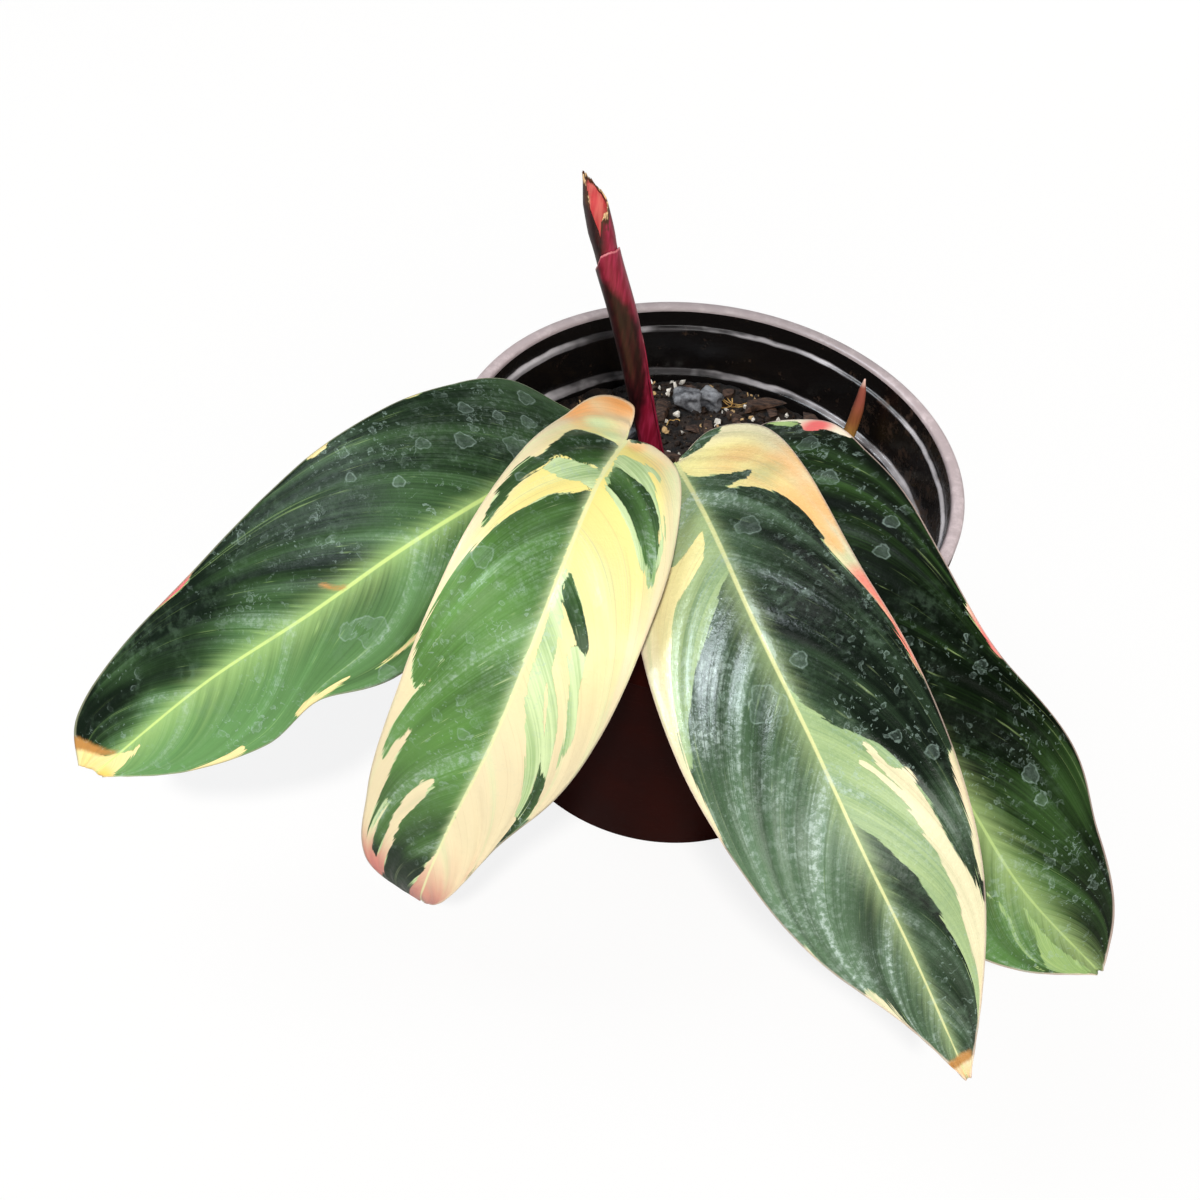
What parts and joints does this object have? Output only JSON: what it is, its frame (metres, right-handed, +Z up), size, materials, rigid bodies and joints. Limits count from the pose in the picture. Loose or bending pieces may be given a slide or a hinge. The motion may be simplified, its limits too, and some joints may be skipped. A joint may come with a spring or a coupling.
{
  "type": "potted stromanthe triostar",
  "caption": "Young prayer plant with long arching leaves splashed pink, cream and green, a rolled new leaf and a sprout, in a round nursery pot of soil.",
  "frame": {"origin": "centre of the flat underside of the pot, on the surface it stands on", "axes": "+Z up through the pot; -Y towards the side over which the leaves lean; +X to the right seen from that side"},
  "size_m": [0.2861, 0.2297, 0.2001],
  "materials": {
    "pot_plastic": "thin moulded nursery-pot plastic, near-black maroon, glossy inside and satin on the lip",
    "soil_mix": "dark peat and bark mix with white perlite grains and tan fibres",
    "rhizome_flesh": "matt pale brown rhizome and roots",
    "blade_tissue": "satin leaf, dark green splashed with cream, pale green and pink, burgundy underneath",
    "stalk_tissue": "smooth burgundy stalk and midrib keel",
    "rolled_tissue": "satin magenta-burgundy rolled new leaf with salmon inner face and a dry brown tip",
    "sprout_tissue": "matt reddish tan sprout"
  },
  "bodies": {
    "root": {"pot": "pot_plastic", "soil": "soil_mix", "rhizome": "rhizome_flesh", "leaf_back_left_blade": "blade_tissue", "leaf_back_left_stalk": "stalk_tissue", "leaf_front_left_blade": "blade_tissue", "leaf_front_left_stalk": "stalk_tissue", "leaf_front_right_blade": "blade_tissue", "leaf_front_right_stalk": "stalk_tissue", "leaf_back_right_blade": "blade_tissue", "leaf_back_right_stalk": "stalk_tissue", "rolled_leaf": "rolled_tissue", "sprout": "sprout_tissue"}
  },
  "joints": []
}
